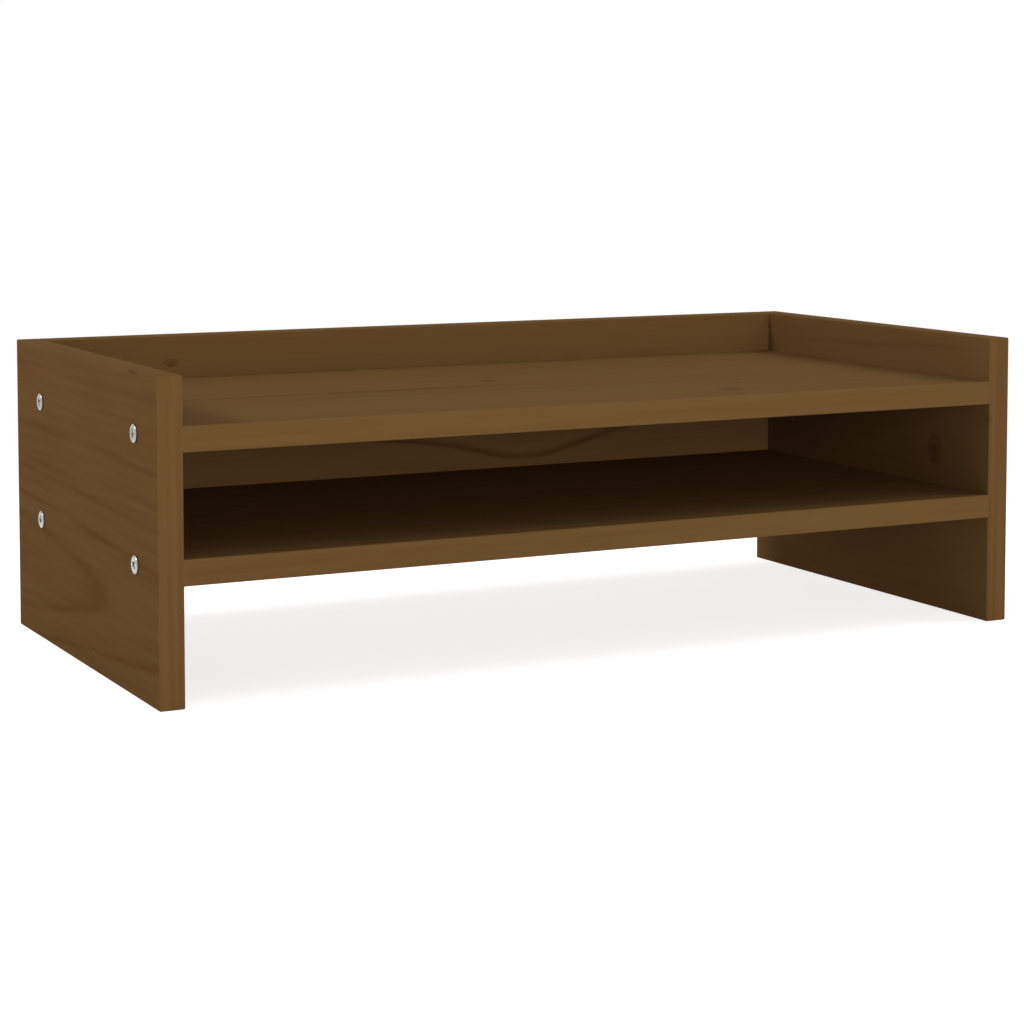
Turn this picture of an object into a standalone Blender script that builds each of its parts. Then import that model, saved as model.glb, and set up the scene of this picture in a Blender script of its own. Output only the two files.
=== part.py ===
"""Monitor riser stand of solid pine boards, screwed and dowelled together.

Metres, +Z up. The origin lies on the ground under the middle of the stand, and the front faces -Y.
"""

import math

import bmesh
import bpy
from mathutils import Matrix, Vector

# Overall size, over the boards
WIDTH = 0.500
DEPTH = 0.240
HEIGHT = 0.160

# Boards
SIDE_THICKNESS = 0.013
SHELF_THICKNESS = 0.013
BACK_THICKNESS = 0.013
RIM_HEIGHT = 0.024
COMPARTMENT_HEIGHT = 0.051
EDGE_EASE = 0.0008
EASE_STEPS = 2
ROUND = 0.5

# Fits
JOINT_GAP = 0.0003
BORE_CLEARANCE = 0.0003
BORE_SIDES = 16

# Screws
SCREW_INSET = 0.0335
SCREW_LENGTH = 0.040
HEAD_DIAMETER = 0.0092
HEAD_HEIGHT = 0.0010
HEAD_RIM = 0.0005
DOME_STEPS = 4
SHANK_DIAMETER = 0.0034
SHANK_LENGTH = 0.010
THREAD_DIAMETER = 0.0045
ROOT_DIAMETER = 0.0030
THREAD_PITCH = 0.0022
THREAD_SIDES = 12
TIP_LENGTH = 0.004
RECESS_SPAN = 0.0048
RECESS_FLOOR_SPAN = 0.0020
RECESS_SLOT = 0.0011
RECESS_DEPTH = 0.0012
DRIVE_TURN = math.radians(37)

# Dowels
DOWEL_DIAMETER = 0.006
DOWEL_LENGTH = 0.030
DOWEL_CHAMFER = 0.0008
DOWEL_FLUTES = 10
FLUTE_DEPTH = 0.0004
DOWEL_TO_SCREW = 0.032
BACK_DOWEL_INSET = 0.0185
BLIND_SKIN = 0.0045

# Finishes: colour in linear light, roughness and metallic value
PINE = ((0.155, 0.080, 0.029), 0.5, 0)
STEEL = ((0.72, 0.72, 0.70), 0.3, 1)
BEECH = ((0.56, 0.38, 0.22), 0.7, 0)
SMOOTH_UNDER = math.radians(35)

# Places that follow from the sizes above
OUTER_X = WIDTH / 2
INNER_X = OUTER_X - SIDE_THICKNESS
BOARD_LENGTH = 2 * (INNER_X - JOINT_GAP)
SHELF_DEPTH = DEPTH - BACK_THICKNESS - JOINT_GAP
SHELF_Y = (SHELF_DEPTH - DEPTH) / 2
BACK_Y = (DEPTH - BACK_THICKNESS) / 2
UPPER_Z = HEIGHT - RIM_HEIGHT - SHELF_THICKNESS / 2
LOWER_Z = UPPER_Z - SHELF_THICKNESS - COMPARTMENT_HEIGHT
BACK_HEIGHT = HEIGHT - LOWER_Z + SHELF_THICKNESS / 2
BACK_Z = HEIGHT - BACK_HEIGHT / 2
SCREW_REACH = SHELF_DEPTH / 2 - SCREW_INSET
BACK_DOWEL_REACH = BACK_HEIGHT / 2 - BACK_DOWEL_INSET
SCREW_SEAT = OUTER_X + JOINT_GAP
DOWEL_X = OUTER_X - BLIND_SKIN - BORE_CLEARANCE - DOWEL_LENGTH / 2

SIDES = {"left": -1, "right": 1}
LEVELS = {"upper": UPPER_Z, "lower": LOWER_Z}
ROWS = {"front": -1, "rear": 1}


def clear_scene():
    for old in list(bpy.data.objects):
        bpy.data.objects.remove(old, do_unlink=True)


def finish(name, colour, roughness, metallic):
    material = bpy.data.materials.new(name)
    material.use_nodes = True
    shader = material.node_tree.nodes["Principled BSDF"]
    shader.inputs["Base Color"].default_value = (*colour, 1)
    shader.inputs["Roughness"].default_value = roughness
    shader.inputs["Metallic"].default_value = metallic
    return material


def mesh_of(bm, name):
    """Closes a bmesh into a mesh whose faces point outwards."""
    bmesh.ops.recalc_face_normals(bm, faces=bm.faces)
    mesh = bpy.data.meshes.new(name)
    bm.to_mesh(mesh)
    bm.free()
    return mesh


def place(name, mesh, material, parent=None, at=(0, 0, 0)):
    piece = bpy.data.objects.new(name, mesh)
    if not mesh.materials:
        mesh.materials.append(material)
    piece.parent = parent
    piece.location = at
    bpy.context.scene.collection.objects.link(piece)
    return piece


def helper(name, mesh):
    """A cutter: drawn as wire and left out of renders."""
    cutter = bpy.data.objects.new(name, mesh)
    cutter.hide_render = True
    cutter.display_type = "WIRE"
    bpy.context.scene.collection.objects.link(cutter)
    return cutter


def cut(piece, cutter):
    modifier = piece.modifiers.new("cut_" + cutter.name, "BOOLEAN")
    modifier.operation = "DIFFERENCE"
    modifier.solver = "EXACT"
    modifier.object = cutter


def smooth(mesh):
    mesh.shade_smooth()
    mesh.set_sharp_from_angle(angle=SMOOTH_UNDER)


def runs_along_x(edge):
    first, second = (v.co for v in edge.verts)
    return abs(first.x - second.x) > abs(first.y - second.y) + abs(first.z - second.z)


def board(name, size, ease_ends):
    """A sawn board with its arrises eased. A board that butts against others keeps its two ends square."""
    bm = bmesh.new()
    bmesh.ops.create_cube(bm, size=1, matrix=Matrix.Diagonal((*size, 1)))
    eased = [edge for edge in bm.edges if ease_ends or runs_along_x(edge)]
    bmesh.ops.bevel(bm, geom=eased, offset=EDGE_EASE, segments=EASE_STEPS, profile=ROUND, affect="EDGES")
    return mesh_of(bm, name)


def ring(bm, radius, z, count):
    """Vertices round the Z axis, turning the way a right-hand thread goes down."""
    turns = [-2 * math.pi * i / count for i in range(count)]
    return [bm.verts.new((radius * math.cos(t), radius * math.sin(t), z)) for t in turns]


def bridge(bm, first, second):
    """Faces between two rings. The second may have half as many vertices as the first."""
    step = len(first) // len(second)
    for i in range(len(second)):
        outer = [first[(i * step + j) % len(first)] for j in range(step + 1)]
        bm.faces.new((*outer, second[(i + 1) % len(second)], second[i]))


def screw_head(bm):
    """A domed head on the plane z = 0. Returns its lower rim."""
    radius = HEAD_DIAMETER / 2
    crown = HEAD_HEIGHT - HEAD_RIM
    sphere = (radius**2 + crown**2) / (2 * crown)
    rim = ring(bm, radius, 0, 2 * THREAD_SIDES)
    below = rim
    for i in range(DOME_STEPS):
        r = radius * (1 - i / DOME_STEPS)
        height = HEAD_HEIGHT - sphere + math.sqrt(sphere**2 - r**2)
        above = ring(bm, r, height, 2 * THREAD_SIDES)
        bridge(bm, below, above)
        below = above
    pole = bm.verts.new((0, 0, HEAD_HEIGHT))
    for i, vertex in enumerate(below):
        bm.faces.new((vertex, below[(i + 1) % len(below)], pole))
    return rim


def helix_point(bm, radius, z, step):
    turn = -2 * math.pi * step / THREAD_SIDES
    drop = THREAD_PITCH * step / THREAD_SIDES
    return bm.verts.new((radius * math.cos(turn), radius * math.sin(turn), z - drop))


def thread(bm, above, below, top, bottom):
    """A helical rib between two root rings. It fades into the root over its first and last turn."""
    n = THREAD_SIDES
    root = ROOT_DIAMETER / 2
    rise = THREAD_DIAMETER / 2 - root
    last = n * (math.ceil((top - bottom) / THREAD_PITCH) - 2)
    valley = [helix_point(bm, root, top, k) for k in range(last + n + 1)]
    crest = []
    for k in range(last + 1):
        fade = min(1, k / n, (last - k) / n)
        crest.append(helix_point(bm, root + rise * fade, top - THREAD_PITCH / 2, k))
    for k in range(last):
        bm.faces.new((valley[k], valley[k + 1], crest[k + 1], crest[k]))
        bm.faces.new((crest[k], crest[k + 1], valley[k + 1 + n], valley[k + n]))
    for k in range(n - 1):
        bm.faces.new((above[k], above[k + 1], valley[k + 1], valley[k]))
        bm.faces.new((valley[last + k + 1], valley[last + k + 2], below[(k + 2) % n], below[k + 1]))
    bm.faces.new((above[n - 1], above[0], valley[0], crest[0], valley[n], valley[n - 1]))
    bm.faces.new((valley[last], valley[last + 1], below[1], below[0], valley[last + n], crest[last]))


def screw_body(bm):
    """Head, plain shank, thread and point, with the head's seat on z = 0."""
    rim = screw_head(bm)
    shank = SHANK_DIAMETER / 2
    root = ROOT_DIAMETER / 2
    neck = ring(bm, shank, 0, THREAD_SIDES)
    shank_end = ring(bm, shank, -SHANK_LENGTH, THREAD_SIDES)
    thread_top = root - shank - SHANK_LENGTH
    thread_bottom = TIP_LENGTH - SCREW_LENGTH
    above = ring(bm, root, thread_top, THREAD_SIDES)
    below = ring(bm, root, thread_bottom, THREAD_SIDES)
    bridge(bm, rim, neck)
    bridge(bm, neck, shank_end)
    bridge(bm, shank_end, above)
    lead = THREAD_PITCH / THREAD_SIDES
    thread(bm, above, below, thread_top - lead, thread_bottom)
    point = bm.verts.new((0, 0, -SCREW_LENGTH))
    for i, vertex in enumerate(below):
        bm.faces.new((vertex, below[(i + 1) % THREAD_SIDES], point))


def cross_outline(bm, span, z):
    """The twelve corners of a cross of this span."""
    reach = span / 2
    half = RECESS_SLOT / 2
    corners = []
    for quarter in range(4):
        turn = Matrix.Rotation(quarter * math.pi / 2, 3, "Z")
        for x, y in ((reach, -half), (reach, half), (half, half)):
            corners.append(bm.verts.new(turn @ Vector((x, y, z))))
    return corners


def recess_cutter():
    """A tapered cross that reaches from above the head down to the recess floor."""
    bm = bmesh.new()
    widen = (RECESS_SPAN - RECESS_FLOOR_SPAN) * HEAD_HEIGHT / RECESS_DEPTH
    floor = cross_outline(bm, RECESS_FLOOR_SPAN, HEAD_HEIGHT - RECESS_DEPTH)
    mouth = cross_outline(bm, RECESS_SPAN + widen, 2 * HEAD_HEIGHT)
    bridge(bm, floor, mouth)
    bm.faces.new(floor)
    bm.faces.new(mouth)
    return helper("recess_cutter", mesh_of(bm, "recess_cutter"))


def screw_mesh(steel):
    """One screw along -Z, with its drive recess cut in."""
    bm = bmesh.new()
    screw_body(bm)
    blank = place("screw_blank", mesh_of(bm, "screw_blank"), steel)
    cut(blank, recess_cutter())
    graph = bpy.context.evaluated_depsgraph_get()
    made = bpy.data.meshes.new_from_object(blank.evaluated_get(graph))
    made.name = "screw"
    bpy.data.objects.remove(blank)
    smooth(made)
    return made


def fluted_ring(bm, x, inset):
    points = []
    for i in range(2 * DOWEL_FLUTES):
        radius = DOWEL_DIAMETER / 2 - inset - FLUTE_DEPTH * (i % 2)
        turn = math.pi * i / DOWEL_FLUTES
        points.append(bm.verts.new((x, radius * math.cos(turn), radius * math.sin(turn))))
    return points


def dowel_mesh():
    """One fluted dowel along X, centred on the origin, with chamfered ends."""
    bm = bmesh.new()
    half = DOWEL_LENGTH / 2
    shoulder = half - DOWEL_CHAMFER
    stations = ((-half, DOWEL_CHAMFER), (-shoulder, 0), (shoulder, 0), (half, DOWEL_CHAMFER))
    rings = [fluted_ring(bm, x, inset) for x, inset in stations]
    for first, second in zip(rings, rings[1:]):
        bridge(bm, first, second)
    bm.faces.new(rings[0])
    bm.faces.new(rings[-1])
    mesh = mesh_of(bm, "dowel")
    smooth(mesh)
    return mesh


def screw_spots():
    """Name, side, depth and height of every screw: two in each shelf end."""
    for side, sign in SIDES.items():
        for level, z in LEVELS.items():
            for row, way in ROWS.items():
                yield f"screw_{side}_{level}_{row}", sign, SHELF_Y + way * SCREW_REACH, z


def dowel_spots():
    """Name, side, depth and height of every dowel: two in each shelf end and in each back panel end."""
    for side, sign in SIDES.items():
        for level, z in LEVELS.items():
            for row, way in ROWS.items():
                y = SHELF_Y + way * (SCREW_REACH - DOWEL_TO_SCREW)
                yield f"dowel_{side}_{level}_{row}", sign, y, z
        for level, way in (("upper", 1), ("lower", -1)):
            yield f"dowel_{side}_back_{level}", sign, BACK_Y, BACK_Z + way * BACK_DOWEL_REACH


def bore(bm, ends, y, z, diameter):
    """A closed cylinder along X, for cutting a hole."""
    middle = Matrix.Translation((sum(ends) / 2, y, z))
    along_x = Matrix.Rotation(math.pi / 2, 4, "Y")
    bmesh.ops.create_cone(
        bm,
        cap_ends=True,
        segments=BORE_SIDES,
        radius1=diameter / 2,
        radius2=diameter / 2,
        depth=abs(ends[1] - ends[0]),
        matrix=middle @ along_x,
    )


def fastener_bores():
    """Every fastener's own shape with its clearance, as one cutter for all the boards."""
    bm = bmesh.new()
    for _, sign, y, z in screw_spots():
        tip = SCREW_SEAT - SCREW_LENGTH - BORE_CLEARANCE
        mouth = SCREW_SEAT + HEAD_HEIGHT
        bore(bm, (sign * tip, sign * mouth), y, z, THREAD_DIAMETER + 2 * BORE_CLEARANCE)
    for _, sign, y, z in dowel_spots():
        reach = DOWEL_LENGTH / 2 + BORE_CLEARANCE
        ends = (sign * (DOWEL_X - reach), sign * (DOWEL_X + reach))
        bore(bm, ends, y, z, DOWEL_DIAMETER + 2 * BORE_CLEARANCE)
    return helper("fastener_bores", mesh_of(bm, "fastener_bores"))


def boards(stand, pine):
    side = (SIDE_THICKNESS, DEPTH, HEIGHT)
    shelf = (BOARD_LENGTH, SHELF_DEPTH, SHELF_THICKNESS)
    back = (BOARD_LENGTH, BACK_THICKNESS, BACK_HEIGHT)
    made = []
    for name, sign in SIDES.items():
        at = (sign * (OUTER_X - SIDE_THICKNESS / 2), 0, HEIGHT / 2)
        mesh = board(f"{name}_side_board", side, ease_ends=True)
        made.append(place(f"{name}_side_panel", mesh, pine, stand, at))
    for name, z in LEVELS.items():
        mesh = board(f"{name}_shelf_board", shelf, ease_ends=False)
        made.append(place(f"{name}_shelf", mesh, pine, stand, (0, SHELF_Y, z)))
    mesh = board("back_board", back, ease_ends=False)
    made.append(place("back_panel", mesh, pine, stand, (0, BACK_Y, BACK_Z)))
    return made


def screws(stand, steel):
    mesh = screw_mesh(steel)
    for i, (name, sign, y, z) in enumerate(screw_spots()):
        screw = place(name, mesh, steel, stand, (sign * SCREW_SEAT, y, z))
        screw.rotation_mode = "ZYX"
        screw.rotation_euler = (0, sign * math.pi / 2, i * DRIVE_TURN)


def dowels(stand, beech):
    mesh = dowel_mesh()
    for name, sign, y, z in dowel_spots():
        place(name, mesh, beech, stand, (sign * DOWEL_X, y, z))


def main():
    clear_scene()
    pine = finish("stained_pine", *PINE)
    steel = finish("zinc_plated_steel", *STEEL)
    beech = finish("plain_beech", *BEECH)
    stand = bpy.data.objects.new("riser_stand", None)
    bpy.context.scene.collection.objects.link(stand)
    cutter = fastener_bores()
    for piece in boards(stand, pine):
        cut(piece, cutter)
    screws(stand, steel)
    dowels(stand, beech)


main()
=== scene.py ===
# %% [markdown]
# # A monitor stand in stained pine
# The stand is five boards, eight screws and twelve hidden dowels. The CAD model already fixes
# where each one sits, so this lesson only dresses it: boards with eased arrises, a solid-wood
# finish that runs through each board, bright zinc screws, and a plain studio to look at it in.
# Everything is in metres, with +Z up.

# %% Load the frame
import functools
import math
from collections import namedtuple

import bmesh
import bpy
from mathutils import Matrix, Vector


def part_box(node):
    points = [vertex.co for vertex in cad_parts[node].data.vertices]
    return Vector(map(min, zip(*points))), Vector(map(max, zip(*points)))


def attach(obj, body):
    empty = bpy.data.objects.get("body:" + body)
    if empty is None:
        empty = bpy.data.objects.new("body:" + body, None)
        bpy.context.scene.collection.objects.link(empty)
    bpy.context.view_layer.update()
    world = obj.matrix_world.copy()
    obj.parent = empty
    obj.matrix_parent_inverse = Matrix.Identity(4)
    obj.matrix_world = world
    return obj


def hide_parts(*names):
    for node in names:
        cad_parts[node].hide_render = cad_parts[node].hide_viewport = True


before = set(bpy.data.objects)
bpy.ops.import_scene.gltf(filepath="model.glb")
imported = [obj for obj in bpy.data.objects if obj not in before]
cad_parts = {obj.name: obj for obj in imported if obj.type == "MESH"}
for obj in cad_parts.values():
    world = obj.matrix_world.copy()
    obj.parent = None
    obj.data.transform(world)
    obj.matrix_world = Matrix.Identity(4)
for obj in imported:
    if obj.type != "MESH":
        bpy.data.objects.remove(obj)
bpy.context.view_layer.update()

# %% [markdown]
# ## Camera
# A product photograph is often taken with a level camera and a shifted lens, so that upright
# edges stay upright. A shifted lens also shifts every other view, so about half of it is used
# here, and the camera tips down by four degrees for the rest. The place and the lens were fitted
# to the straight edges of the boards.

# %% Camera
CAMERA_AT = (-0.62336, -1.22513, 0.27161)
CAMERA_TIP = math.radians(90 - 3.9174)
CAMERA_TURN = math.radians(-26.8987)
CAMERA_LENS = 86.794
CAMERA_SHIFT = -0.20


def placed(name, data):
    """A new object with this name and data, linked to the scene."""
    made = bpy.data.objects.new(name, data)
    bpy.context.scene.collection.objects.link(made)
    return made


camera = placed("camera", bpy.data.cameras.new("camera"))
camera.location = CAMERA_AT
camera.rotation_euler = (CAMERA_TIP, 0, CAMERA_TURN)
camera.data.lens = CAMERA_LENS
camera.data.shift_y = CAMERA_SHIFT
bpy.context.scene.camera = camera
print("camera:", CAMERA_LENS, "mm lens, shifted by", CAMERA_SHIFT)

# %% [markdown]
# ## Shader sums as Python
# A wood finish is a long sum of distances, rings and noise, and a page of links is hard to read.
# The small class below wraps one socket: Python's own signs on it add Math nodes, and one method
# adds any other node, its settings first. The same class serves the Geometry Nodes tree of the
# screws later on. Each kind of noise is one record: a seed of its own, how quickly it changes
# along the three axes, and how fine and rough it is.

# %% One wire of a node tree
Noise = namedtuple("Noise", "seed pace detail roughness", defaults=(2, 0.5))
OFF_LATTICE = 0.37  # at whole numbers the noise is flat


class Wire:
    """One output socket of a node tree. Signs such as + and * on it add Math nodes."""

    def __init__(self, tree, socket=None):
        self.tree = tree
        self.socket = socket

    def node(self, kind, settings=None, sockets=None, out=0):
        """Adds a node: its settings first, then a value or a wire for each socket."""
        made = self.tree.nodes.new(kind)
        for name, value in (settings or {}).items():
            if name == "stops":
                set_stops(made.color_ramp, value)
            else:
                setattr(made, name, value)
        for key, value in (sockets or {}).items():
            if isinstance(value, Wire):
                value.into(made.inputs[key])
            else:
                made.inputs[key].default_value = value
        return Wire(self.tree, made.outputs[out])

    def into(self, socket):
        """Links this wire to another node's input."""
        self.tree.links.new(self.socket, socket)

    def math(self, operation, *values):
        return self.node("ShaderNodeMath", {"operation": operation}, dict(enumerate(values)))

    def __add__(self, other):
        return self.math("ADD", self, other)

    __radd__ = __add__

    def __sub__(self, other):
        return self.math("SUBTRACT", self, other)

    def __rsub__(self, other):
        return self.math("SUBTRACT", other, self)

    def __mul__(self, other):
        return self.math("MULTIPLY", self, other)

    __rmul__ = __mul__

    def __truediv__(self, other):
        return self.math("DIVIDE", self, other)

    def __mod__(self, other):
        return self.math("MODULO", self, other)

    def floor(self):
        return self.math("FLOOR", self)

    def root(self):
        return self.math("SQRT", self)

    def exp(self):
        return self.math("EXPONENT", self)

    def sin(self):
        return self.math("SINE", self)

    def size(self):
        return self.math("ABSOLUTE", self)

    def least(self, other):
        return self.math("MINIMUM", self, other)

    def most(self, other):
        return self.math("MAXIMUM", self, other)

    def step(self, start, end):
        """Rises smoothly from 0 at start to 1 at end. A start above the end falls instead."""
        settings = {"interpolation_type": "SMOOTHSTEP"}
        return self.node("ShaderNodeMapRange", settings, {0: self, 1: start, 2: end, 3: 0, 4: 1})

    def blend(self, first, second):
        """The first colour where this wire is 0, the second where it is 1."""
        settings = {"data_type": "RGBA"}
        return self.node("ShaderNodeMix", settings, {0: self, 6: first, 7: second}, out=2)

    def parts(self):
        made = self.node("ShaderNodeSeparateXYZ", None, {0: self}).socket.node
        return [Wire(self.tree, socket) for socket in made.outputs]

    def stretch(self, scale):
        return self.node("ShaderNodeVectorMath", {"operation": "MULTIPLY"}, {0: self, 1: scale})

    def noise(self, kind, seed=0):
        """Smooth noise of this kind at this vector, from 0 to 1."""
        sockets = {
            "Vector": self.stretch(kind.pace), "W": seed + kind.seed + OFF_LATTICE, "Scale": 1.0,
            "Detail": kind.detail, "Roughness": kind.roughness,
        }
        return self.node("ShaderNodeTexNoise", {"noise_dimensions": "4D"}, sockets)


def set_stops(ramp, stops):
    """Gives a colour ramp grey stops, each a place and a level from 0 to 1."""
    while len(ramp.elements) > 1:
        ramp.elements.remove(ramp.elements[-1])
    for i, (place, level) in enumerate(stops):
        stop = ramp.elements[0] if i == 0 else ramp.elements.new(place)
        stop.position = place
        stop.color = (level, level, level, 1)


print("wire: signs", [name for name in vars(Wire) if name.startswith("__") and name != "__init__"])

# %% [markdown]
# ## Studio
# The photograph has pure white behind the stand and soft light from all round, a little stronger
# from the front. A bright world would wash the wood out. So the world is white only to the eye,
# to metal and to glass, and lights the wood at a lower level. Four lamps add the direction.

# %% World
WORLD_LEVEL = 0.30
WHITE_LEVEL = 1.0
WHITE = (1, 1, 1, 1)
WHITE_TO = ("Camera", "Glossy", "Transmission")

world = bpy.data.worlds.new("studio")
world.use_nodes = True
bpy.context.scene.world = world
bpy.context.scene.view_settings.view_transform = "Standard"


def looks(start):
    """1 for a ray from the eye, off metal or through glass, and 0 for a ray that lights."""
    path = start.node("ShaderNodeLightPath").socket.node
    rays = [Wire(start.tree, path.outputs[f"Is {kind} Ray"]) for kind in WHITE_TO]
    return functools.reduce(Wire.most, rays)


sky = world.node_tree
sky.nodes.remove(sky.nodes["Background"])
start = Wire(sky)
dim = start.node("ShaderNodeBackground", None, {"Color": WHITE, "Strength": WORLD_LEVEL})
bright = start.node("ShaderNodeBackground", None, {"Color": WHITE, "Strength": WHITE_LEVEL})
both = start.node("ShaderNodeMixShader", None, {0: looks(start), 1: dim, 2: bright})
both.into(sky.nodes["World Output"].inputs["Surface"])
print("world: level", WORLD_LEVEL)

# %% [markdown]
# ## Lamps
# Four square lamps surround the stand: a strong one low in front, one high on each side, and
# one behind. Lamps this large leave no hard shadow. The left one is the smallest, because the
# shadow that the left side throws on the deck has a clear edge. The one behind is hidden from
# gloss, or the deck would mirror it. A lamp's power is written for its place, so moving one means
# setting its power again.

# %% Lamps
Lamp = namedtuple("Lamp", "name at size power glossy", defaults=(True,))
AIM = Vector((0, 0, 0.08))
LAMPS = (
    Lamp("front_softbox", (-0.3, -2.6, 0.30), 1.2, 41.5),
    Lamp("left_softbox", (-2.1, 0.5, 1.57), 0.6, 20.4),
    Lamp("right_softbox", (1.6, -0.3, 1.75), 1.2, 16.5),
    Lamp("back_softbox", (-0.8, 2.6, 0.50), 1.2, 14, glossy=False),
)


def hang(lamp):
    light = bpy.data.lights.new(lamp.name, "AREA")
    light.size = lamp.size
    light.energy = lamp.power
    holder = placed(lamp.name, light)
    holder.location = lamp.at
    holder.rotation_euler = (AIM - Vector(lamp.at)).to_track_quat("-Z", "Y").to_euler()
    holder.visible_glossy = lamp.glossy


for lamp in LAMPS:
    hang(lamp)
    print("lamp:", lamp.name, lamp.power, "W")

# %% [markdown]
# ## Floor
# The floor is a matt white sheet that takes the stand's soft shadow. To the eye, to metal and to
# glass it gets some light of its own, so that it reaches white where nothing shades it. It fades
# into pure white away from the stand, which hides where it ends.

# %% Floor
FLOOR_REACH = 4.0
FLOOR_COLOUR = (0.9, 0.9, 0.9, 1)
FLOOR_LIFT = 0.72
FLOOR_FADE = (0.45, 0.75)


def blank_finish(name):
    """A new material, a wire to start its tree with, and its shader."""
    material = bpy.data.materials.new(name)
    material.use_nodes = True
    tree = material.node_tree
    return material, Wire(tree), tree.nodes["Principled BSDF"]


def meshed(name, bm):
    """A new mesh from a bmesh, which is then freed."""
    mesh = bpy.data.meshes.new(name)
    bm.to_mesh(mesh)
    bm.free()
    return mesh


def floor_finish():
    material, start, shader = blank_finish("white_floor")
    start.tree.nodes.remove(shader)
    looked_at = looks(start)
    x, y, _ = start.node("ShaderNodeTexCoord", out="Object").parts()
    far = (x * x + y * y).root().step(*FLOOR_FADE)
    matt = start.node("ShaderNodeBsdfDiffuse", None, {"Color": FLOOR_COLOUR})
    lift = start.node("ShaderNodeEmission", None, {"Color": WHITE, "Strength": FLOOR_LIFT})
    lifted = start.node("ShaderNodeAddShader", None, {0: matt, 1: lift})
    near = start.node("ShaderNodeMixShader", None, {0: looked_at, 1: matt, 2: lifted})
    white = start.node("ShaderNodeEmission", None, {"Color": WHITE, "Strength": WHITE_LEVEL})
    whole = start.node("ShaderNodeMixShader", None, {0: far * looked_at, 1: near, 2: white})
    whole.into(start.tree.nodes["Material Output"].inputs["Surface"])
    return material


bm = bmesh.new()
bmesh.ops.create_grid(bm, x_segments=1, y_segments=1, size=FLOOR_REACH)
floor = placed("floor", meshed("floor", bm))
floor.data.materials.append(floor_finish())
print("floor:", 2 * FLOOR_REACH, "m square")

# %% [markdown]
# ## How a pine board gets its figure
# A board is cut from a log whose growth rings are cones round the pith. Where the cut runs along
# the pith the rings show as straight streaks; where it leans, they close into arches. A picture
# wrapped round a box can't do that, so the finish here is solid: it takes each point's distance
# from the board's own pith line, and the rings meet at every arris as they do in timber. All
# distances in it are millimetres: u along the grain, v across the board's width and w through its
# thickness.
#
# A figure lists what stands out: rings by their radius, knots, streaks along the grain, and
# swells where the log was thicker or thinner. The wander says how far its rings stray from round,
# tone and ends make its faces and its sawn ends darker, and the seed picks the noise for all the
# rest.

# %% What a board's figure needs
MM = 1000
ALONG_X_FLAT = Matrix.Identity(3)
ALONG_X_UPRIGHT = Matrix(((1, 0, 0), (0, 0, 1), (0, -1, 0)))
ALONG_Y_UPRIGHT = Matrix(((0, 1, 0), (0, 0, 1), (1, 0, 0)))

Pith = namedtuple("Pith", "v w v_lean w_lean")
Year = namedtuple("Year", "radius level rise", defaults=(2.4,))
Knot = namedtuple("Knot", "u v size push depth stretch w deep", defaults=(1.0, 1.25, 6.5, 20))
Streak = namedtuple("Streak", "u v reach width level lean", defaults=(0,))
Swell = namedtuple("Swell", "u reach push")
Figure = namedtuple(
    "Figure", "axes origin pith years knots streaks wander tone seed swells ends", defaults=((), 0)
)

FIGURES = {}
print("figure:", ", ".join(Figure._fields))

# %% [markdown]
# ## The figure of the sides
# The left side shows its outer face. Its pith lies behind the lower half, so the rings close into
# an arch there, and a pale streak along its upper edge is a painted highlight. The right side shows
# its inner face, with one large knot near the front and a thin dark streak along the rim.

# %% The figure of the sides
FIGURES["left_side_panel"] = Figure(
    axes=ALONG_Y_UPRIGHT, origin=(120, 0, 250), pith=Pith(42, 44.6, -0.0146, -0.0575),
    years=(
        Year(39.9, 0.45), Year(50, 0.38), Year(62, 0.24), Year(70.5, 0.20),
        Year(84, 0.32), Year(96.5, 0.20), Year(114.5, 0.12),
    ),
    knots=(
        Knot(104, 7, 1.6, 2, 0.6),
        Knot(35.5, 159, 0.8, 0, 1.3, stretch=8, w=0, deep=1.5),
        Knot(13, 153, 3.5, 0, 0.2, stretch=2.5),
    ),
    # The second streak paints the upper edge paler: a painted highlight.
    streaks=(Streak(215, 95, 60, 45, 0.07), Streak(120, 163, 150, 3.5, -0.45)),
    wander=2.5, tone=0.09, seed=12,
)
FIGURES["right_side_panel"] = Figure(
    axes=ALONG_Y_UPRIGHT, origin=(120, 0, -237), pith=Pith(118, -52, 0.03, 0.045),
    years=(
        Year(66, 0.1), Year(72, 0.2), Year(84, 0.2), Year(97, 0.25),
        Year(111, 0.2), Year(124, 0.22), Year(133, 0.2),
    ),
    knots=(
        Knot(50, 92, 7.2, 4, 1.3, stretch=0.75),
        Knot(1, 115, 2.6, 0, 0.8, stretch=1, w=0, deep=0.8),
        Knot(176, 32, 3.4, 4, 0.8),
    ),
    streaks=(Streak(110, 149, 110, 1.6, 0.30, lean=-0.035),),
    wander=5, tone=-0.12, seed=23, ends=0.10,
)
print("figures:", list(FIGURES))

# %% [markdown]
# ## The figure of the shelves
# Both shelves are cut well away from the pith, so their rings run nearly straight. Two dark
# streaks cross the left half of the deck, between paler ones, and a few small knots lie about.

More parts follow.
